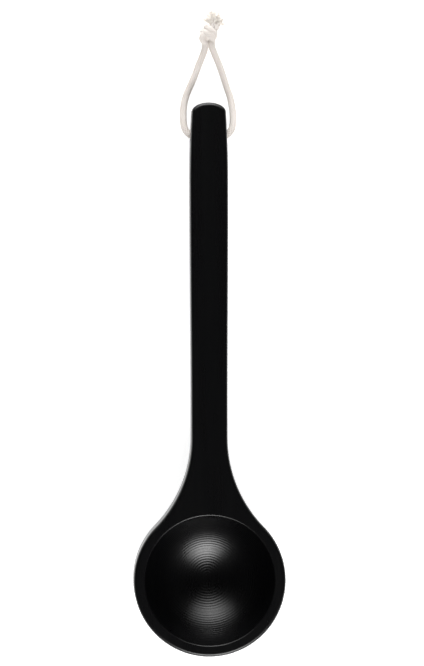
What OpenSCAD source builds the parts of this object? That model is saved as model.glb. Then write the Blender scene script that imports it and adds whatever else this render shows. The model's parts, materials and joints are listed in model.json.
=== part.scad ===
// Long-handled wooden ladle with a cotton hanging loop through the handle's end.
// It lies as on a table: +Z up, +Y along the handle towards its end, +X across.
// The shape is drafted face up, with the bowl's centre at the origin and the flat face
// at height 0, then tipped until the bowl's foot and the handle's heel both rest on Z = 0.

/* [Ladle] */
// Whole length of the wood, from the bowl's far edge to the handle's end
ladle_length = 400; // [370:5:430]
// Height of the wood at the bowl, from the foot to the flat face
bowl_height = 45; // [42:1:48]
// Outer diameter of the bowl
bowl_d = 110; // [106:1:114]
// Diameter of the hollow where it opens in the flat face
hollow_d = 94; // [88:1:96]
// Radius of the round cutter that turned the hollow
hollow_r = 49; // [49:0.5:54]
// Diameter of the flat foot under the bowl
foot_d = 28; // [20:1:36]

/* [Handle] */
// Width of the handle at the neck
neck_w = 26.2; // [24:0.1:28]
// Width of the handle at its widest, near the end
grip_w = 27.7; // [26:0.1:29]
// Depth of the handle's rounded end, which is half an ellipse
end_round = 6.8; // [6.8:0.1:8]
// Thickness of the handle
handle_t = 18; // [16:0.5:20]
// Radius of the hollow curve that joins the handle to the bowl, seen from above
neck_r = 92; // [80:1:100]
// Distance from the bowl's centre at which the sweep up to the handle's underside ends
sweep_end = 160; // [140:5:180]

/* [Edges] */
// Rounding of the edge around the flat face
face_round = 2.5; // [1.5:0.1:3]
// Rounding of the edges under the handle
under_round = 3.5; // [3:0.1:3.5]
// Height of the upright wall around the bowl
bowl_wall = 23; // [20:0.5:26]
// Width of the small bevel around the mouth of the hollow
lip = 0.8; // [0.4:0.1:1.5]

/* [Hanging loop] */
// Diameter of the hole across the handle
bore_d = 6.6; // [6.2:0.1:7]
// Distance of that hole's axis from the handle's end
bore_inset = 24.5; // [20:0.5:26]
// Diameter of the braided cotton cord
cord_d = 4.8; // [4.4:0.1:4.8]
// Diameter of the knot
knot_d = 12; // [10:0.1:12.4]

/* [Hidden] */
$fn = 96;

bowl_r = bowl_d / 2;
end_y = ladle_length - bowl_r;
neck_hw = neck_w / 2;
grip_hw = grip_w / 2;
grip_y = end_y - 56;           // where the handle is widest
end_taper = 1.9;               // what each side of the grip loses towards the end

// Centre of the neck's hollow curve, which touches the bowl's circle and the handle's side
neck_c = [neck_hw + neck_r, sqrt((bowl_r + neck_r) ^ 2 - (neck_hw + neck_r) ^ 2)];
neck_a = atan2(neck_c[1], neck_c[0]);  // direction from the bowl's centre to that centre
handle_y = neck_c[1];                  // where the handle's straight side begins

// Half width of the handle at a distance y from the bowl's centre
function handle_hw(y) =
    y < grip_y
        ? neck_hw + (grip_hw - neck_hw) * (1 - cos(180 * (y - handle_y) / (grip_y - handle_y))) / 2
        : grip_hw - end_taper * ((y - grip_y) / (end_y - grip_y)) ^ 2;

// Right half of the outline, from the bowl's far edge round to the handle's end.
// Each entry is a point, the direction into the wood, and how far the underside is rounded in.
foot_y = foot_d / 2;
bowl_round = bowl_r - foot_d / 2;
end_start = end_y - end_round;         // where the rounded end begins
end_hw = handle_hw(end_start);
neck_start_w = bowl_r * cos(neck_a);
function neck_round(x) =
    under_round + (bowl_round - under_round) * (x - neck_hw) / (neck_start_w - neck_hw);
bowl_steps = 27;
neck_steps = 10;
side_steps = 12;
end_steps = 7;
right_outline = [
    for (i = [0:bowl_steps])
        let (a = -90 + (90 + neck_a) * i / bowl_steps, d = [cos(a), sin(a)])
        [bowl_r * d, -d, bowl_round],
    for (i = [1:neck_steps])
        let (a = 180 + neck_a * (1 - i / neck_steps), d = [cos(a), sin(a)], p = neck_c + neck_r * d)
        [p, d, neck_round(p[0])],
    for (i = [1:side_steps - 1])
        let (y = handle_y + (end_start - handle_y) * i / side_steps)
        [[handle_hw(y), y], [-1, 0], under_round],
    for (i = [0:end_steps])
        let (
            a = 90 * i / end_steps,
            n = [cos(a) / end_hw, sin(a) / end_round]
        )
        [[end_hw * cos(a), end_start + end_round * sin(a)], -n / norm(n), under_round],
];
half = len(right_outline) - 1;

// How much of the bowl's extra depth is left under a point at a distance y
function sweep(y) =
    y < foot_y ? 1 : y > sweep_end ? 0 : (1 - ((y - foot_y) / (sweep_end - foot_y)) ^ 2) ^ 2.5;
function depth(y) = handle_t + (bowl_height - handle_t) * sweep(y);
function wall(y) = handle_t - under_round + (bowl_wall - handle_t + under_round) * sweep(y);

// One loop of points round the ladle, from the flat face (first) down to the underside (last)
face_turns = [0, 30, 60, 90];
under_turns = [0, 15, 30, 45, 60, 75, 90];
function face_loop(turn) = [
    for (e = right_outline)
        let (p = e[0] + e[1] * face_round * (1 - sin(turn)))
        [p[0], p[1], -face_round * (1 - cos(turn))]
];
function under_loop(turn) = [
    for (e = right_outline)
        let (
            p = e[0] + e[1] * e[2] * (1 - cos(turn)),
            y = (e[0] + e[1] * e[2])[1]
        )
        [p[0], p[1], -wall(y) - (depth(y) - wall(y)) * sin(turn)]
];
function mirrored(p) = [-p[0], p[1], p[2]];
function both_sides(loop) = [each loop, for (i = [half - 1:-1:1]) mirrored(loop[i])];
loops = [
    for (t = face_turns) both_sides(face_loop(t)),
    for (t = under_turns) both_sides(under_loop(t)),
];
round_count = 2 * half;
loop_count = len(loops);
body_points = [for (loop = loops) each loop];

// Triangles between loop j and the next one down
function band(j) = [
    for (i = [0:round_count - 1])
        let (
            k = (i + 1) % round_count,
            a = j * round_count + i,
            b = j * round_count + k
        )
        each [[a, b, a + round_count], [b, b + round_count, a + round_count]]
];
// A flat cap across a loop, in rungs from each right-hand point to the left-hand one beside it
function cap(first) = [
    [first, first + round_count - 1, first + 1],
    [first + half - 1, first + half + 1, first + half],
    for (i = [1:half - 2])
        let (r = first + i, l = first + round_count - i)
        each [[r, l, r + 1], [l, l - 1, r + 1]]
];
function flipped(faces) = [for (f = faces) [f[2], f[1], f[0]]];
body_faces = [
    for (j = [0:loop_count - 2]) each band(j),
    each cap(0),
    each flipped(cap((loop_count - 1) * round_count)),
];

// The tip at rest: the straight edge under the wood runs from the foot to the heel
heel_y = end_y - under_round;
tip = max([for (y = [0:0.5:60]) atan((depth(y) - handle_t) / (heel_y - y))]);
function tipped(p) = [p[0], p[1] * cos(tip) + p[2] * sin(tip), p[2] * cos(tip) - p[1] * sin(tip)];
tipped_points = [for (p = body_points) tipped(p)];
lift = -min([for (p = tipped_points) p[2]]);
near_y = min([for (p = tipped_points) p[1]]);
far_y = max([for (p = tipped_points) p[1]]);
middle_y = (near_y + far_y) / 2;

module at_rest() translate([0, -middle_y, lift]) rotate([-tip, 0, 0]) children();

// Hole for the cord, across the handle halfway up its thickness
bore = [0, end_y - bore_inset, -handle_t / 2];
bore_hw = handle_hw(bore[1]);
mouth_r = 4.8;                 // each mouth is opened out to this radius
mouth_depth = 2;
bore_at_rest = tipped(bore) + [0, -middle_y, lift];
beyond = 1;                    // how far a cutting shape runs past a face

module hollow() {
    rise = sqrt(hollow_r ^ 2 - (hollow_d / 2) ^ 2);
    translate([0, 0, rise]) sphere(r = hollow_r);
    translate([0, 0, -lip]) cylinder(h = 2 * lip, r1 = hollow_d / 2 - lip, r2 = hollow_d / 2 + 2 * lip);
}

module cord_hole() {
    translate(bore) rotate([0, 90, 0]) cylinder(h = grip_w + 2 * beyond, d = bore_d, center = true);
    flare = (mouth_r - bore_d / 2) / mouth_depth;
    for (side = [-1, 1])
        translate(bore) rotate([0, side * 90, 0]) translate([0, 0, bore_hw - mouth_depth])
            cylinder(
                h = mouth_depth + beyond,
                r1 = bore_d / 2,
                r2 = mouth_r + flare * beyond
            );
}

// One piece of turned and shaped wood: bowl, neck and handle
module ladle_body() color("#141414") at_rest() difference() {
    polyhedron(points = body_points, faces = body_faces);
    hollow();
    cord_hole();
}

// The cord's legs, from the middle of the hole to the knot: each point is across from the
// ladle's middle, beyond the hole, and height above the surface
bend = [
    [5, 0, 10.4], [8, 0.1, 10.4], [10.5, 0.5, 10.4], [12.9, 1.4, 10.2], [15, 3, 9.7],
    [16.6, 5.1, 9.1], [17.6, 7.8, 8.2], [18, 11, 7.3], [18.1, 15.5, 6.1],
];
right_leg = [
    each bend, [17.9, 19.5, 5.1], [17.2, 24, 4.1], [15.8, 30, 3.1], [13.5, 36.5, 2.6],
    [10.9, 44.5, 2.5], [8.2, 52, 2.7], [5.4, 59, 3.5], [3.3, 64.5, 4.5], [2.5, 69, 5.4],
];
left_leg = [
    for (p = bend) mirrored(p), [-18, 19.5, 5.1], [-17.4, 24, 4.1], [-15.8, 30, 3.1],
    [-13.1, 36.5, 2.6], [-9.6, 44.5, 2.5], [-6.8, 52, 2.7], [-4, 59, 3.5], [-2.6, 64.5, 4.5],
    [-2.2, 69, 5.4],
];
cord_route = [
    for (i = [len(left_leg) - 1:-1:0]) left_leg[i],
    [0, 0, 10.4],
    each right_leg,
];
function from_bore(p) = [p[0], p[1] + bore_at_rest[1], p[2]];
function unit(v) = v / norm(v);

// A tube of the given number of sides that follows a route
function ring(p, along, r, sides) =
    let (u = unit(cross(along, [0, 0, 1])), v = cross(u, along))
    [for (i = [0:sides - 1]) p + r * (cos(360 * i / sides) * u + sin(360 * i / sides) * v)];
module tube(route, r, sides) {
    last = len(route) - 1;
    points = [
        for (i = [0:last])
            let (along = unit(route[min(i + 1, last)] - route[max(i - 1, 0)]))
            each ring(route[i], along, r, sides)
    ];
    walls = [
        for (j = [0:last - 1])
            for (i = [0:sides - 1])
                let (k = (i + 1) % sides, a = j * sides)
                each [[a + i, a + k, a + sides + i], [a + k, a + sides + k, a + sides + i]]
    ];
    start = [for (i = [sides - 1:-1:0]) i];
    finish = [for (i = [0:sides - 1]) last * sides + i];
    polyhedron(points = points, faces = [each walls, finish, start]);
}

// The open loop: both legs and the stretch through the handle
module cord_loop() color("#efe6da")
    tube([for (p = cord_route) from_bore(p)], cord_d / 2, 8);

// The doubled overhand knot, as the plain barrel that it fills
knot_c = [0, 73.8, 6.2];
knot_l = 11.4;
knot_end_r = 4;
module cord_knot() color("#e9dfd2") translate(from_bore(knot_c)) rotate([-90, 0, 0])
    rotate_extrude() polygon([
        [0, -knot_l / 2],
        for (a = [-60:15:60])
            [knot_end_r + (knot_d / 2 - knot_end_r) * cos(1.5 * a), knot_l / 2 * sin(a) / sin(60)],
        [0, knot_l / 2],
    ]);

// A frayed end of the cord, as the plain cone that its threads fill
tail_l = 13;
tail_start_r = 1.5;            // the cord is squeezed where it leaves the knot
tail_end_r = 4;
module tail(start, lean, dip) translate(from_bore(start)) rotate([-90 - dip, 0, -lean])
    cylinder(h = tail_l, r1 = tail_start_r, r2 = tail_end_r);
module cord_tail_left() color("#f3ebe0") tail([1.6, 78.2, 5.8], -10, 3);
module cord_tail_right() color("#f3ebe0") tail([5, 77.6, 5.8], 20, 3);

ladle_body();
cord_loop();
cord_knot();
cord_tail_left();
cord_tail_right();
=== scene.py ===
import json
import math
import random

import bmesh
import bpy
from mathutils import Matrix, Vector


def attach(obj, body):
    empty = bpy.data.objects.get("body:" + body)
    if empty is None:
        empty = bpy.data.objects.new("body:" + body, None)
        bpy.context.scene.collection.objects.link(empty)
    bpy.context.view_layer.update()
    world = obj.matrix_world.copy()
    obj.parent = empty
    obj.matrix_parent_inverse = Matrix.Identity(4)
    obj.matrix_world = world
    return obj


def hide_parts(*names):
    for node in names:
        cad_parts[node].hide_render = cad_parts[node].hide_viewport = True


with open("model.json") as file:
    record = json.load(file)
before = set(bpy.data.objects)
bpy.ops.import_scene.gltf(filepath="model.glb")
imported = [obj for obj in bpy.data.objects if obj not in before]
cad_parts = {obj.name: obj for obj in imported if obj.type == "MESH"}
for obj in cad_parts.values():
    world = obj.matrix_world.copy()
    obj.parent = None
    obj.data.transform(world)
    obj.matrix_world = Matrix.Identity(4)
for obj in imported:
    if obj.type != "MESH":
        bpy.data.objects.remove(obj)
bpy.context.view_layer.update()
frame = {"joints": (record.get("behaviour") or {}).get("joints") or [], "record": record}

# The ladle is drafted in millimetres, face up, with the bowl's centre at the origin, the
# flat face at height 0 and +Y along the handle, and is then put down in the shared frame.
MM = 0.001
WOOD_LENGTH = 400.0
BOWL_HEIGHT = 45.0
BOWL_R = 55.0
BOWL_WALL = 23.0           # upright part of the bowl's side, above the rounded underside
FOOT_R = 14.0
HOLLOW_R = 49.0            # radius of the ball that the hollow is part of
HOLLOW_MOUTH = 47.0        # the hollow's radius at the flat face
LIP = 0.8                  # rounding of the hollow's mouth
END_Y = WOOD_LENGTH - BOWL_R
END_ROUND = 6.8            # depth of the handle's rounded end
HANDLE_T = 18.0
NECK_HW = 13.1             # half the handle's width where it is narrowest, and at the grip
GRIP_HW = 13.85
GRIP_Y = END_Y - 56
END_TAPER = 1.9            # how much each side comes in from the grip to the end
NECK_R = 92.0              # the hollow curve from the bowl into the handle
SWEEP_END = 160.0          # where the bowl's extra depth has run out under the handle
SWEEP_POWER = 2.5
FACE_ROUND = 2.5
UNDER_ROUND = 3.5
BORE_R = 3.3
BORE_INSET = 24.5          # from the handle's end
BORE_MOUTH_R = 4.8
BORE_MOUTH_DEPTH = 2.0
CORD_D = 4.8
WELD = 1e-4                # points closer than this are one

mounts = {m["name"]: m for m in frame["record"]["mounts"]}
foot = Vector(mounts["foot"]["pos_m"])
down = Vector(mounts["foot"]["axis"]).normalized()
bowl_centre = foot - down * BOWL_HEIGHT * MM
tip = math.asin(-down.y)
AT_REST = Matrix.Translation(bowl_centre) @ Matrix.Rotation(-tip, 4, "X") @ Matrix.Scale(MM, 4)
bore = Vector(frame["joints"][0]["pos_m"])


# ---- camera ----

VIEW_HEIGHT = 479.9        # how much of the flat face's plane the picture takes in, top to bottom
CAMERA_FAR = 1700.0        # from the flat face
CAMERA_LEFT = -95.0        # a little to the left of the handle
VIEW_CENTRE = (1.8, 178.6)
CAMERA_ROLL = math.radians(0.12)


def make_camera():
    data = bpy.data.cameras.new("studio_camera")
    camera = bpy.data.objects.new("studio_camera", data)
    bpy.context.scene.collection.objects.link(camera)
    bpy.context.scene.camera = camera
    aim = AT_REST @ Vector((*VIEW_CENTRE, 0))
    spot = AT_REST @ Vector((CAMERA_LEFT, VIEW_CENTRE[1], CAMERA_FAR))
    back = (spot - aim).normalized()
    turn = AT_REST.to_3x3().normalized()
    up = turn @ Vector((math.sin(CAMERA_ROLL), math.cos(CAMERA_ROLL), 0))
    side = up.cross(back).normalized()
    camera.matrix_world = Matrix.Translation(spot) @ Matrix(
        (side, back.cross(side), back)
    ).transposed().to_4x4()
    data.sensor_width = 36
    data.lens = data.sensor_width * (spot - aim).length / (VIEW_HEIGHT * MM)
    data.clip_start, data.clip_end = 0.05, 20


make_camera()


# ---- tools for rings and tubes ----

def grow(bm, ring, points):
    """Extrudes a closed ring of vertices and puts the new ring at the points."""
    edges = [bm.edges.get((ring[i - 1], ring[i])) for i in range(len(ring))]
    made = set(bmesh.ops.extrude_edge_only(bm, edges=edges)["geom"])
    fresh = []
    for v in ring:
        fresh.append(next(e.other_vert(v) for e in v.link_edges if e.other_vert(v) in made))
    for v, p in zip(fresh, points):
        v.co = p
    return fresh


def first_ring(bm, points, capped=False):
    """A closed ring of vertices at the points, with a face across it if capped."""
    ring = bmesh.ops.create_circle(bm, segments=len(points), radius=1, cap_ends=capped)["verts"]
    for v, p in zip(ring, points):
        v.co = p
    return ring


def finished(name, bm, body, material):
    """Turns a bmesh in the shared frame into a smooth piece that rides on a body."""
    bmesh.ops.recalc_face_normals(bm, faces=bm.faces)
    mesh = bpy.data.meshes.new(name)
    bm.to_mesh(mesh)
    bm.free()
    mesh.polygons.foreach_set("use_smooth", [True] * len(mesh.polygons))
    mesh.materials.append(material)
    piece = bpy.data.objects.new(name, mesh)
    bpy.context.scene.collection.objects.link(piece)
    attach(piece, body)
    return piece


def smooth_line(points, step):
    """Points a step apart along a smooth curve through the given points."""
    parts = 24
    ends = [2 * points[0] - points[1], *points, 2 * points[-1] - points[-2]]
    fine = []
    for a, b, c, d in zip(ends, ends[1:], ends[2:], ends[3:]):
        for i in range(parts):
            t = i / parts
            fine.append(
                0.5 * (2 * b + (c - a) * t + (2 * a - 5 * b + 4 * c - d) * t * t
                       + (3 * b - a - 3 * c + d) * t ** 3)
            )
    fine.append(points[-1])
    lengths = [0]
    for a, b in zip(fine, fine[1:]):
        lengths.append(lengths[-1] + (b - a).length)
    count = max(2, round(lengths[-1] / step))
    line, k = [], 0
    for i in range(count + 1):
        want = lengths[-1] * i / count
        while k < len(fine) - 2 and lengths[k + 1] < want:
            k += 1
        span = lengths[k + 1] - lengths[k]
        line.append(fine[k].lerp(fine[k + 1], (want - lengths[k]) / span))
    return line


def frames_along(line):
    """For each point of a line, two directions across it that don't twist along the way."""
    across = None
    frames = []
    for i, p in enumerate(line):
        along = (line[min(i + 1, len(line) - 1)] - line[max(i - 1, 0)]).normalized()
        if across is None:
            across = along.orthogonal().normalized()
        across = (across - along * across.dot(along)).normalized()
        frames.append((across, along.cross(across)))
    return frames


# ---- materials ----

def linear(code):
    """Linear RGBA of an sRGB hex colour such as '#0c0c0d'."""
    parts = [int(code[i:i + 2], 16) / 255 for i in (1, 3, 5)]
    return tuple(c / 12.92 if c <= 0.04045 else ((c + 0.055) / 1.055) ** 2.4 for c in parts) + (1,)


def node(tree, kind, settings=None, stops=None, **links):
    """Adds a node with its settings and, on a ramp, its colour stops, and links or sets its
    inputs by name, with __ for a space, or by number."""
    made = tree.nodes.new(kind)
    for i, (position, code) in enumerate(stops or []):
        ramp = made.color_ramp.elements
        stop = ramp[0] if i == 0 else ramp.new(position)
        stop.position, stop.color = position, linear(code)
    if stops:
        made.color_ramp.elements.remove(made.color_ramp.elements[-1])
    for key, value in (settings or {}).items():
        setattr(made, key, value)
    for key, value in links.items():
        socket = made.inputs[int(key[1:]) if key[0] == "_" else key.replace("__", " ")]
        if isinstance(value, bpy.types.NodeSocket):
            tree.links.new(value, socket)
        else:
            socket.default_value = value
    return made


def new_material(name):
    material = bpy.data.materials.new(name)
    material.use_nodes = True
    tree = material.node_tree
    tree.nodes.clear()
    return material, tree


def black_lacquered_birch():
    """Close-grained birch, turned and sanded, stained black and sprayed with a satin lacquer:
    near black, with soft broad highlights, faint long pores and a little unevenness of gloss."""
    material, tree = new_material("black_lacquered_birch")
    place = node(tree, "ShaderNodeTexCoord").outputs["Object"]
    level = node(
        tree, "ShaderNodeMapping", {"vector_type": "TEXTURE"}, Vector=place,
        Location=tuple(bowl_centre), Rotation=(-tip, 0, 0),
    ).outputs["Vector"]
    # pores about 1.1 mm wide and 14 mm long, drawn coarser than birch's own so that they show
    pore_width, pore_length = 0.0011, 0.014
    stretched = node(
        tree, "ShaderNodeMapping", Vector=level,
        Scale=(1 / pore_width, 1 / pore_length, 1 / pore_width),
    ).outputs["Vector"]
    pores = node(
        tree, "ShaderNodeTexNoise", Vector=stretched, Scale=1.0, Detail=3.0, Roughness=0.6
    ).outputs["Fac"]
    # growth rings: broad bands about 9 mm apart that wander along the board
    band_width, band_length, band_depth = 0.009, 0.16, 0.03
    bands = node(
        tree, "ShaderNodeMapping", Vector=level,
        Scale=(1 / band_width, 1 / band_length, 1 / band_depth),
    ).outputs["Vector"]
    growth = node(
        tree, "ShaderNodeTexNoise", Vector=bands, Scale=1.0, Detail=2.0, Distortion=0.6
    ).outputs["Fac"]
    # the sprayed coat's own fine unevenness, about 1.5 mm across
    spray = node(
        tree, "ShaderNodeTexNoise", Vector=level, Scale=1 / 0.0015, Detail=2.0
    ).outputs["Fac"]
    grain = node(
        tree, "ShaderNodeMix", {"data_type": "FLOAT"}, Factor=0.35, _2=growth, _3=pores
    ).outputs[0]
    colour = node(
        tree, "ShaderNodeValToRGB", _0=grain,
        stops=[(0.3, "#040405"), (0.55, "#050506"), (0.75, "#070707")],
    ).outputs["Color"]
    rough = node(
        tree, "ShaderNodeMapRange", Value=grain,
        **{"From__Min": 0.3, "From__Max": 0.7, "To__Min": 0.265, "To__Max": 0.295}
    ).outputs["Result"]
    fine = node(
        tree, "ShaderNodeBump", Strength=0.2, Distance=0.00002, Height=spray
    ).outputs["Normal"]
    relief = node(
        tree, "ShaderNodeBump", Strength=0.12, Distance=0.00004, Height=pores, Normal=fine
    ).outputs["Normal"]
    shader = node(
        tree, "ShaderNodeBsdfPrincipled", **{"Base__Color": colour}, Roughness=rough,
        IOR=1.47, Normal=relief,
    )
    node(tree, "ShaderNodeOutputMaterial", Surface=shader.outputs["BSDF"])
    return material


def braided_cotton():
    """Unbleached cotton yarn, braided round into a soft cord: matt and creamy, with painted shade
    that darkens and warms the colour down between the strands, a patchy tone of its own, and fine
    yarns lying along each strand."""
    material, tree = new_material("braided_cotton")
    place = node(tree, "ShaderNodeTexCoord").outputs["Object"]
    yarn = node(tree, "ShaderNodeAttribute", {"attribute_name": "yarn"})
    parts = node(tree, "ShaderNodeSeparateXYZ", Vector=yarn.outputs["Vector"])
    fluff = node(
        tree, "ShaderNodeTexNoise", Vector=place, Scale=1 / 0.0006, Detail=4.0, Roughness=0.7
    ).outputs["Fac"]
    cloud = node(
        tree, "ShaderNodeTexNoise", Vector=place, Scale=1 / 0.009, Detail=1.0
    ).outputs["Fac"]
    # yarns side by side in each strand, about half a millimetre apart
    yarns = 3
    ridges = node(
        tree, "ShaderNodeMath", {"operation": "SINE"},
        _0=node(
            tree, "ShaderNodeMath", {"operation": "MULTIPLY"},
            _0=parts.outputs["X"], _1=2 * math.pi * yarns,
        ).outputs[0],
    ).outputs[0]
    height = node(
        tree, "ShaderNodeMath", {"operation": "MULTIPLY_ADD"}, _0=ridges, _1=0.3, _2=fluff
    ).outputs[0]
    # painted shade: the colour darkens where a point lies low on its strand, down between the
    # strands where they shade each other, mixed with a patchy tone of the cotton's own
    crevice_shade_and_tone = node(
        tree, "ShaderNodeMix", {"data_type": "FLOAT"}, Factor=0.3,
        _2=parts.outputs["Z"], _3=cloud,
    ).outputs[0]
    # painted shade: dark and warm down between the strands, paler on the strands' crowns
    colour = node(
        tree, "ShaderNodeValToRGB", _0=crevice_shade_and_tone,
        stops=[(0.1, "#a8968a"), (0.5, "#e6ddd5"), (0.9, "#f7f2ee")],
    ).outputs["Color"]
    relief = node(
        tree, "ShaderNodeBump", Strength=0.6, Distance=0.00012, Height=height
    ).outputs["Normal"]
    shader = node(
        tree, "ShaderNodeBsdfPrincipled", **{"Base__Color": colour, "Sheen__Weight": 0.25},
        Roughness=0.92, IOR=1.47, Normal=relief,
    )
    node(tree, "ShaderNodeOutputMaterial", Surface=shader.outputs["BSDF"])
    return material


def loose_cotton():
    """The same cotton yarn where it has come unlaid: softer and fluffy, its colour lifted paler as
    painted light against the shade that the close-packed yarns cast on each other.
    """
    material, tree = new_material("loose_cotton")
    place = node(tree, "ShaderNodeTexCoord").outputs["Object"]
    fluff = node(
        tree, "ShaderNodeTexNoise", Vector=place, Scale=1 / 0.0008, Detail=3.0
    ).outputs["Fac"]
    # painted light: the colour is lifted paler than the cord's to offset the shade the many yarns
    # cast on each other; the noise is the cotton's own patchy tone
    colour = node(
        tree, "ShaderNodeValToRGB", _0=fluff,
        stops=[(0.3, "#f4ece2"), (0.5, "#fbf6ef"), (0.7, "#fefcf9")],
    ).outputs["Color"]
    relief = node(
        tree, "ShaderNodeBump", Strength=0.4, Distance=0.0001, Height=fluff
    ).outputs["Normal"]
    shader = node(
        tree, "ShaderNodeBsdfPrincipled", **{"Base__Color": colour, "Sheen__Weight": 0.25},
        Roughness=0.95, IOR=1.47, Normal=relief,
    )
    node(tree, "ShaderNodeOutputMaterial", Surface=shader.outputs["BSDF"])
    return material


WOOD = black_lacquered_birch()
CORD_COTTON = braided_cotton()
LOOSE_COTTON = loose_cotton()


# ---- the cord: both legs, from the middle of the hole to the knot ----

# across from the ladle's middle, beyond the hole, and height above the surface
BEND = [
    (5, 0, 10.4), (8, 0.1, 10.4), (10.5, 0.5, 10.4), (12.9, 1.4, 10.2), (15, 3, 9.7),
    (16.6, 5.1, 9.1), (17.6, 7.8, 8.2), (18, 11, 7.3), (18.1, 15.5, 6.1),
]
RIGHT_LEG = [
    (0, 0, 10.4), *BEND, (17.9, 19.5, 5.1), (17.2, 24, 4.1), (15.8, 30, 3.1), (13.5, 36.5, 2.8),
    (10.9, 44.5, 2.7), (8.2, 52, 2.8), (5.2, 59, 3.5), (2.9, 64.5, 4.5), (2.4, 69, 5.4),
]
LEFT_LEG = [
    (0, 0, 10.4), *[(-x, y, z) for x, y, z in BEND], (-18, 19.5, 5.1), (-17.4, 24, 4.1),
    (-15.8, 30, 3.1), (-13.1, 36.5, 2.8), (-9.6, 44.5, 2.7), (-6.8, 52, 2.8), (-3.9, 59, 3.5),
    (-2.3, 64.5, 4.5), (-2.3, 69, 5.4),
]
BRAID_STRANDS = 8          # each way round
BRAID_LAY = 20.0           # length in which a strand goes once round
STRAND_RISE = 0.3          # how far a strand is rounded up
STRAND_WEAVE = 0.12        # how far it lifts to pass over another
FLUFF = 0.25               # how far the soft strands stand out when nothing presses on them
LEG_SIDES = 40
LEG_STEP = 0.35


def in_frame(p):
    """A cord point, which is given beyond the hole and above the surface, in the shared frame."""
    return Vector((p[0] * MM, p[1] * MM + bore.y, p[2] * MM))


def braid(turn, along):
    """Height in mm of a round braid's surface, where it is on its strand, and how high that is."""
    a = BRAID_STRANDS * (turn + along / BRAID_LAY)
    b = BRAID_STRANDS * (along / BRAID_LAY - turn)
    u, w = a % 1 - 0.5, b % 1 - 0.5
    over = 1 if (math.floor(a) + math.floor(b)) % 2 == 0 else -1
    one = STRAND_RISE * math.cos(math.pi * u) + STRAND_WEAVE * over * math.cos(math.pi * w)
    two = STRAND_RISE * math.cos(math.pi * w) - STRAND_WEAVE * over * math.cos(math.pi * u)
    high = STRAND_RISE + STRAND_WEAVE
    if one >= two:
        return one - high, (u, along, max(0, one / high))
    return two - high, (w, along, max(0, two / high))


def add_braid(bm, line, radius, sides, narrowing=None):
    """A braided tube along a line, its surface raised strand by strand, closed at both ends."""
    yarn = bm.verts.layers.float_vector.get("yarn") or bm.verts.layers.float_vector.new("yarn")
    ring, along, before = None, 0, line[0]
    for i, (p, (u, v)) in enumerate(zip(line, frames_along(line))):
        along += (p - before).length / MM
        before = p
        share = 1 if narrowing is None else narrowing(i / (len(line) - 1))
        points, marks = [], []
        for k in range(sides):
            a = 2 * math.pi * k / sides
            height, mark = braid(k / sides, along)
            r = (radius + height) * share * MM
            points.append(p + r * (math.cos(a) * u + math.sin(a) * v))
            marks.append(mark)
        ring = first_ring(bm, points, capped=True) if ring is None else grow(bm, ring, points)
        # each point keeps where it lies on its strand; how high it lies there drives the cotton's
        # painted shade between the strands
        for vert, mark in zip(ring, marks):
            vert[yarn] = mark
    bmesh.ops.contextual_create(bm, geom=ring)


def cord_leg(name, route):
    line = smooth_line([in_frame(p) for p in route], LEG_STEP * MM)
    bm = bmesh.new()
    add_braid(bm, line, CORD_D / 2 + FLUFF, LEG_SIDES)
    return finished(name, bm, "cord", CORD_COTTON), line


cord_right, right_line = cord_leg("cord_right", RIGHT_LEG)
cord_left, left_line = cord_leg("cord_left", LEFT_LEG)


# ---- the knot: both legs tied together in one overhand knot ----

KNOT_STRAND_R = 2.45
KNOT_SIDES = 30
KNOT_STEP = 0.4
KNOT_CENTRE = Vector((-0.1, 74.1, 6.2))
KNOT_SPREAD = 1.1           # the routes below are laid out for a tighter knot
BAND_LEAN = math.radians(-32)  # the turns of the knot go down to the right

# routes from the knot's centre, as seen from above with the tails away: across, on, and up
LOBE = [
    (0.4, -4.6, -3.2), (-1.8, -5.0, -1.2), (-3.4, -4.3, 1.0), (-4.1, -2.6, 2.3), (-3.7, -0.9, 2.5),
    (-2.6, 0.6, 1.7), (-1.2, 1.6, 0.2), (0, 2, -1.5),
]
RIGHT_FOLD = [
    (1.2, 2.6, 1.5), (2.9, 1.8, 2.2), (3.6, 0, 2.0), (3.5, -2.0, 1.2), (2.2, -3.6, 0.2),
]
RIGHT_ROOT = [(2.3, -4.4, -0.7), (2.0, -2.6, -0.4), (1.6, -0.8, 0)]
LEFT_ROOT = [(-2.0, -4.4, -0.7), (-1.8, -2.6, -0.4), (-1.4, -0.8, 0)]
KNOT_HEART = [(-2.4, -3.2, -0.4), (-1.2, -1.8, 0.6), (0.4, -1.2, 0.9), (2.0, -1.6, 0.4)]
NECK_LEFT = [(-0.6, 0.5, 0.3), (0.9, 2.6, 0.9), (2.2, 4.2, 1.0), (2.9, 5.8, 0.6), (3.1, 7.4, 0.2)]
NECK_RIGHT = [(1.2, -0.5, -0.5), (3.0, 1.8, 0), (4.6, 3.6, 0.2), (5.5, 5.2, 0.1), (6.1, 6.8, 0)]


def around(offset, across, deep, start, stop, steps=14):
    """Part of a turn round the knot, from the back over the front: offset towards the tails,
    half its width, half its depth, and the angles it starts and stops at."""
    lean = Matrix.Rotation(BAND_LEAN, 3, "Z")
    points = []
    for i in range(steps + 1):
        a = math.radians(start + (stop - start) * i / steps)
        points.append(tuple(lean @ Vector((-across * math.cos(a), offset, deep * math.sin(a)))))
    return points


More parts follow.
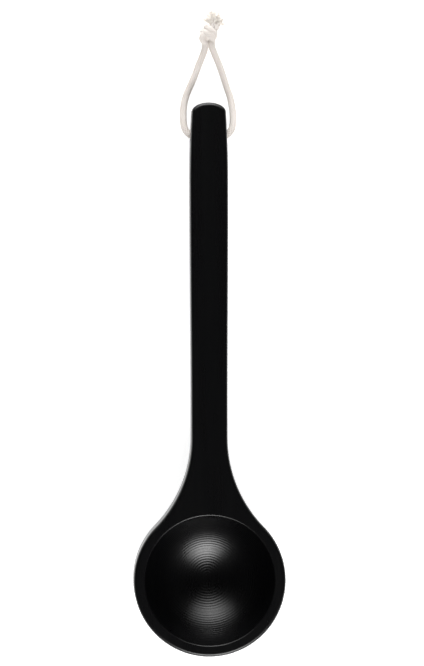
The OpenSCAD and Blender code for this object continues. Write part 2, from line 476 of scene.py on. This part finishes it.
def tied_knot():
    """The doubled overhand knot: a band of two strands across the front, the fold it comes
    from at the lower left, the legs going in below and the two ends leaving at the top."""
    routes = [
        around(-0.1, 3.9, 3.3, -60, 235), around(3.0, 3.2, 2.9, -70, 240), LOBE, RIGHT_FOLD,
        around(0.4, 3.6, 3.2, 185, 355), KNOT_HEART, NECK_LEFT, NECK_RIGHT,
        LEFT_ROOT, RIGHT_ROOT,
    ]
    bm = bmesh.new()
    for route in routes:
        points = [in_frame(KNOT_CENTRE + KNOT_SPREAD * Vector(p)) for p in route]
        line = smooth_line(points, KNOT_STEP * MM)
        add_braid(bm, line, KNOT_STRAND_R, KNOT_SIDES)
    return finished("cord_knot_tied", bm, "cord", CORD_COTTON)


knot = tied_knot()
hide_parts("cord_knot")


# ---- the frayed ends ----

YARN_R = 0.33
YARN_SIDES = 5
YARN_STEPS = 7
YARN_THINNING = 0.55       # share of its thickness that a yarn loses by its tip
WAVE = 1.1                 # how far a loose yarn wanders
CORE_R = 1.7               # how far from the cord's middle a yarn starts
CORE_BACK = 0.6            # how far inside the cord's end it starts
CLEARANCE = 0.05           # between the lowest yarns and the surface


def yarn_end(bm, start, way, reach, curl, rng):
    """One loose yarn from a frayed end: five-sided, thinning to its tip, bending as it goes."""
    side = way.cross(Vector((0, 0, 1))).normalized()
    lift = rng.uniform(-0.25, 0.35)
    points = []
    for t in (0, 0.25, 0.5, 0.75, 1):
        p = start + way * reach * t + side * curl * t * t * reach
        p += Vector((0, 0, lift * reach * t * (1 - 0.6 * t)))
        p += Vector([rng.uniform(-WAVE, WAVE) * t for _ in range(3)])
        p.z = max(p.z, YARN_R + CLEARANCE)
        points.append(in_frame(p))
    line = smooth_line(points, reach * MM / YARN_STEPS)
    ring = None
    for i, (p, (u, v)) in enumerate(zip(line, frames_along(line))):
        r = YARN_R * (1 - YARN_THINNING * i / (len(line) - 1)) * MM
        angles = [2 * math.pi * k / YARN_SIDES for k in range(YARN_SIDES)]
        loop = [p + r * (math.cos(a) * u + math.sin(a) * v) for a in angles]
        ring = first_ring(bm, loop, capped=True) if ring is None else grow(bm, ring, loop)
    bmesh.ops.contextual_create(bm, geom=ring)


def frayed_end(name, node_name, root, locks, seed):
    """A cord's end that has come unlaid into locks of loose yarns. Each lock has its middle
    direction from +Y and half its spread in degrees, its reach, its curl and its yarns."""
    rng = random.Random(seed)
    bm = bmesh.new()
    for middle, spread, reach, curl, count in locks:
        for _ in range(count):
            a = math.radians(middle + rng.triangular(-spread, spread))
            ring_a = rng.uniform(0, 2 * math.pi)
            ring_r = CORE_R * math.sqrt(rng.random())
            offset = Vector((ring_r * math.cos(ring_a), -CORE_BACK, ring_r * math.sin(ring_a)))
            way = Vector((math.sin(a), math.cos(a), rng.uniform(-0.4, 0.4))).normalized()
            long = reach * rng.uniform(0.5, 1.08)
            bend = curl + rng.uniform(-0.3, 0.3)
            yarn_end(bm, Vector(root) + offset, way, long, bend, rng)
    piece = finished(name, bm, "cord", LOOSE_COTTON)
    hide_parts(node_name)
    return piece


LEFT_LOCKS = [(8, 38, 11.8, 0, 76), (-62, 10, 9.8, 0.12, 26)]
RIGHT_LOCKS = [(24, 32, 9.4, 0.1, 44), (60, 30, 6.8, 0.2, 44)]
fray_left = frayed_end("frayed_end_left", "cord_tail_left", (2.8, 82.0, 6.4), LEFT_LOCKS, 3)
fray_right = frayed_end("frayed_end_right", "cord_tail_right", (5.8, 81.5, 6.2), RIGHT_LOCKS, 4)

for leg, line, fray in ((cord_left, left_line, fray_left), (cord_right, right_line, fray_right)):
    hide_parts("cord_loop")


# ---- the ladle's wood ----

def handle_hw(y):
    """Half width of the handle at a distance y from the bowl's centre."""
    if y < GRIP_Y:
        share = (y - HANDLE_Y) / (GRIP_Y - HANDLE_Y)
        return NECK_HW + (GRIP_HW - NECK_HW) * (1 - math.cos(math.pi * share)) / 2
    return GRIP_HW - END_TAPER * ((y - GRIP_Y) / (END_Y - GRIP_Y)) ** 2


# centre of the neck's hollow curve, which touches the bowl's circle and the handle's side
NECK_X = NECK_HW + NECK_R
HANDLE_Y = math.sqrt((BOWL_R + NECK_R) ** 2 - NECK_X ** 2)
NECK_A = math.atan2(HANDLE_Y, NECK_X)
NECK_START_W = BOWL_R * math.cos(NECK_A)


def right_outline(bowl_steps, neck_steps, side_steps, corner_steps):
    """Right half of the outline, from the bowl's far edge to the handle's end: each entry is
    a point, the direction into the wood, and how far the underside is rounded in."""
    outline = []
    for i in range(bowl_steps + 1):
        a = -math.pi / 2 + (math.pi / 2 + NECK_A) * i / bowl_steps
        d = Vector((math.cos(a), math.sin(a)))
        outline.append((BOWL_R * d, -d, BOWL_R - FOOT_R))
    for i in range(1, neck_steps + 1):
        a = math.pi + NECK_A * (1 - i / neck_steps)
        d = Vector((math.cos(a), math.sin(a)))
        p = Vector((NECK_X, HANDLE_Y)) + NECK_R * d
        share = (p.x - NECK_HW) / (NECK_START_W - NECK_HW)
        outline.append((p, d, UNDER_ROUND + (BOWL_R - FOOT_R - UNDER_ROUND) * share))
    corner_y = END_Y - END_ROUND
    corner_hw = handle_hw(corner_y)
    for i in range(1, side_steps):
        y = HANDLE_Y + (corner_y - HANDLE_Y) * i / side_steps
        outline.append((Vector((handle_hw(y), y)), Vector((-1, 0)), UNDER_ROUND))
    for i in range(corner_steps + 1):
        a = math.pi / 2 * i / corner_steps
        p = Vector((corner_hw * math.cos(a), corner_y + END_ROUND * math.sin(a)))
        n = Vector((math.cos(a) / corner_hw, math.sin(a) / END_ROUND)).normalized()
        outline.append((p, -n, UNDER_ROUND))
    return outline


def sweep(y):
    """How much of the bowl's extra depth is left under a point at a distance y."""
    if y < FOOT_R:
        return 1
    if y >= SWEEP_END:
        return 0
    return max(0, 1 - ((y - FOOT_R) / (SWEEP_END - FOOT_R)) ** 2) ** SWEEP_POWER


def depth(y):
    """How deep the wood is below the flat face."""
    return HANDLE_T + (BOWL_HEIGHT - HANDLE_T) * sweep(y)


def wall(y):
    """How far the side goes straight down before the underside rounds in."""
    low = HANDLE_T - UNDER_ROUND
    return low + (BOWL_WALL - low) * sweep(y)


def face_loop(outline, turn):
    """The right half of a loop on the rounded edge of the flat face."""
    inset, drop = FACE_ROUND * (1 - math.sin(turn)), FACE_ROUND * (1 - math.cos(turn))
    return [(p.x + n.x * inset, p.y + n.y * inset, -drop) for p, n, _ in outline]


def under_loop(outline, turn, narrow=1.0):
    """The right half of a loop on the rounded underside, or of a narrower one within it."""
    loop = []
    for p, n, inset in outline:
        at = p + n * inset * (1 - math.cos(turn))
        y = (p + n * inset).y
        loop.append((at.x * narrow, at.y, -wall(y) - (depth(y) - wall(y)) * math.sin(turn)))
    return loop


def both_sides(loop):
    """A whole loop from its right half."""
    return [Vector(p) for p in loop] + [Vector((-x, y, z)) for x, y, z in loop[-2:0:-1]]


RING_PITCH = 2.0           # the turning tool's rings, drawn coarser than the real half millimetre
RING_POINTS = 5            # points in the profile of one ring
RING_JITTER = 0.14         # how uneven the rings are
RING_RISE = 0.044
RING_FADE = 4.0            # the rings run out this far from the hollow's middle


def hollow_profile(rng):
    """From the middle of the hollow up to its mouth, with the tool's fine rings, and over the
    rounded lip on to the flat face."""
    rise = math.sqrt(HOLLOW_R ** 2 - HOLLOW_MOUTH ** 2)
    whole = HOLLOW_R * math.atan2(HOLLOW_MOUTH, rise)
    steps = round((whole - LIP) / (RING_PITCH / RING_POINTS))
    profile, phase = [], 0
    for i in range(steps + 1):
        along = (whole - LIP) * i / steps
        phase += 2 * math.pi / RING_POINTS * rng.uniform(1 - RING_JITTER, 1 + RING_JITTER)
        cut = RING_RISE * min(1, along / RING_FADE) * math.sin(phase)
        a, r = along / HOLLOW_R, HOLLOW_R - cut
        profile.append(Vector((r * math.sin(a), 0, rise - r * math.cos(a))))
    start, corner = profile[-1], Vector((HOLLOW_MOUTH, 0, 0))
    end = Vector((HOLLOW_MOUTH + LIP, 0, 0))
    lip_steps = 6
    for i in range(1, lip_steps + 1):
        t = i / lip_steps
        profile.append((1 - t) ** 2 * start + 2 * t * (1 - t) * corner + t * t * end)
    profile[0].x = 0
    return profile


def cord_hole_cutter():
    """A spindle through the handle, flared at both ends, that cuts the cord's hole."""
    y, z = END_Y - BORE_INSET, -HANDLE_T / 2
    hw = handle_hw(y)
    flare = BORE_MOUTH_DEPTH + 1  # starts gently, 1 mm deeper than the mouth shows
    flare_steps, flare_power = 8, 2.2
    half = [(0, BORE_R), (hw - flare, BORE_R)]
    for i in range(1, flare_steps + 1):
        t = i / flare_steps
        half.append((hw - flare + flare * t, BORE_R + (BORE_MOUTH_R - BORE_R) * t ** flare_power))
    half.append((hw + 3, BORE_MOUTH_R + 2.5))  # clear of the wood
    profile = [(-x, r) for x, r in half[:0:-1]] + half
    bm = bmesh.new()
    points = [(profile[0][0], 0), *profile, (profile[-1][0], 0)]
    verts = [bm.verts.new((x, y, z + r)) for x, r in points]
    edges = [bm.edges.new(pair) for pair in zip(verts, verts[1:])]
    bmesh.ops.spin(
        bm, geom=verts + edges, cent=(0, y, z), axis=(1, 0, 0), angle=2 * math.pi, steps=64,
        use_merge=True,
    )
    bmesh.ops.remove_doubles(bm, verts=bm.verts, dist=WELD)
    bmesh.ops.recalc_face_normals(bm, faces=bm.faces)
    bmesh.ops.transform(bm, matrix=AT_REST, verts=bm.verts)
    mesh = bpy.data.meshes.new("cutter")
    bm.to_mesh(mesh)
    bm.free()
    cutter = bpy.data.objects.new("cutter", mesh)
    bpy.context.scene.collection.objects.link(cutter)
    return cutter


def carve(piece, cutter):
    """Cuts the cutter's shape out of the piece for good."""
    cut = piece.modifiers.new("cut", "BOOLEAN")
    cut.operation, cut.solver, cut.object = "DIFFERENCE", "EXACT", cutter
    bpy.context.view_layer.update()
    shaped = piece.evaluated_get(bpy.context.evaluated_depsgraph_get())
    mesh = bpy.data.meshes.new_from_object(shaped)
    piece.modifiers.clear()
    piece.data = mesh
    mesh.name = piece.name
    bpy.data.objects.remove(cutter)


def ladle_wood():
    outline = right_outline(bowl_steps=90, neck_steps=40, side_steps=60, corner_steps=20)
    face_steps, under_steps, hollow_steps = 8, 16, 224
    face_turns = [math.pi / 2 * i / face_steps for i in range(face_steps + 1)]
    under_turns = [math.pi / 2 * i / under_steps for i in range(under_steps + 1)]
    bm = bmesh.new()
    top = ring = first_ring(bm, both_sides(face_loop(outline, face_turns[0])))
    for turn in face_turns[1:]:
        ring = grow(bm, ring, both_sides(face_loop(outline, turn)))
    for turn in under_turns:
        ring = grow(bm, ring, both_sides(under_loop(outline, turn)))
    for narrow in (0.75, 0.5, 0.25, 0):
        ring = grow(bm, ring, both_sides(under_loop(outline, math.pi / 2, narrow)))
    profile = [bm.verts.new(p) for p in hollow_profile(random.Random(11))]
    edges = [bm.edges.new(pair) for pair in zip(profile, profile[1:])]
    bmesh.ops.spin(
        bm, geom=profile + edges, cent=(0, 0, 0), axis=(0, 0, 1), angle=2 * math.pi,
        steps=hollow_steps, use_merge=True,
    )
    bmesh.ops.remove_doubles(bm, verts=bm.verts, dist=WELD)
    rim = [e for e in bm.edges if e.is_boundary]
    bmesh.ops.triangle_fill(bm, edges=rim, use_beauty=True, normal=(0, 0, 1))
    bmesh.ops.transform(bm, matrix=AT_REST, verts=bm.verts)
    piece = finished("ladle_wood", bm, "ladle", WOOD)
    carve(piece, cord_hole_cutter())
    even = piece.modifiers.new("even_shading", "WEIGHTED_NORMAL")
    even.keep_sharp = True
    return piece


wood = ladle_wood()
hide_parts("ladle_body")


# ---- floor, world and lights ----

def studio_floor():
    """Matt white painted board, bright enough to leave the shadows faint."""
    bm = bmesh.new()
    bmesh.ops.create_grid(bm, x_segments=1, y_segments=1, size=4)
    mesh = bpy.data.meshes.new("studio_floor")
    bm.to_mesh(mesh)
    bm.free()
    floor = bpy.data.objects.new("studio_floor", mesh)
    bpy.context.scene.collection.objects.link(floor)
    material, tree = new_material("matt_white_board")
    place = node(tree, "ShaderNodeTexCoord").outputs["Object"]
    patches = node(tree, "ShaderNodeTexNoise", Vector=place, Scale=3.0).outputs["Fac"]
    colour = node(
        tree, "ShaderNodeValToRGB", _0=patches, stops=[(0.3, "#f4f4f4"), (0.7, "#f7f7f7")]
    ).outputs["Color"]
    shader = node(
        tree, "ShaderNodeBsdfPrincipled",
        **{"Base__Color": colour, "Specular__IOR__Level": 0.2, "Emission__Color": colour,
           "Emission__Strength": 0.8},
        Roughness=0.9,
    )
    node(tree, "ShaderNodeOutputMaterial", Surface=shader.outputs["BSDF"])
    mesh.materials.append(material)


def studio_world():
    """A dim room overhead that grows pale towards the horizon, so the flat face stays black."""
    world = bpy.data.worlds.new("studio_world")
    bpy.context.scene.world = world
    world.use_nodes = True
    tree = world.node_tree
    tree.nodes.clear()
    way = node(tree, "ShaderNodeTexCoord").outputs["Generated"]
    height = node(tree, "ShaderNodeSeparateXYZ", Vector=way).outputs["Z"]
    colour = node(
        tree, "ShaderNodeValToRGB", _0=height,
        stops=[(0.0, "#707070"), (0.25, "#484848"), (0.7, "#262626"), (0.95, "#1c1c1c")],
    ).outputs["Color"]
    glow = node(tree, "ShaderNodeBackground", Color=colour, Strength=1.0)
    node(tree, "ShaderNodeOutputWorld", Surface=glow.outputs["Background"])


# each ellipse of a softbox: its size beside the whole, and its share of the power
SOFT_STEPS = ((1.0, 0.5), (0.7, 0.35), (0.38, 0.15))
NEST = 0.02                # how far towards the aim a smaller ellipse is set


def softbox(name, spot, aim, width, height, power):
    """A round-cornered softbox, brightest in its middle: three ellipses one inside another."""
    middle, target = Vector(spot), Vector(aim)
    for size, share in SOFT_STEPS:
        data = bpy.data.lights.new(name, "AREA")
        data.shape, data.size, data.size_y = "ELLIPSE", width * size, height * size
        data.energy = power * share
        light = bpy.data.objects.new(name, data)
        bpy.context.scene.collection.objects.link(light)
        light.location = middle.lerp(target, NEST * (1 - size))
        light.rotation_mode = "QUATERNION"
        light.rotation_quaternion = (target - middle).to_track_quat("-Z", "Y")


studio_floor()
studio_world()
softbox(
    "softbox_bowl_side", spot=(0.3, -1.87, 1.54), aim=(0, -0.14, 0.02),
    width=2.56, height=1.68, power=64,
)
softbox(
    "softbox_handle_side", spot=(-0.1, 1.82, 1.04), aim=(0, -0.1, 0.02),
    width=2.9, height=2.0, power=35,
)
softbox(
    "strip_behind_end", spot=(0, 1.6, 0.2), aim=(0, 0.25, 0.02),
    width=1.0, height=0.25, power=9,
)
bpy.context.scene.view_settings.view_transform = "Standard"
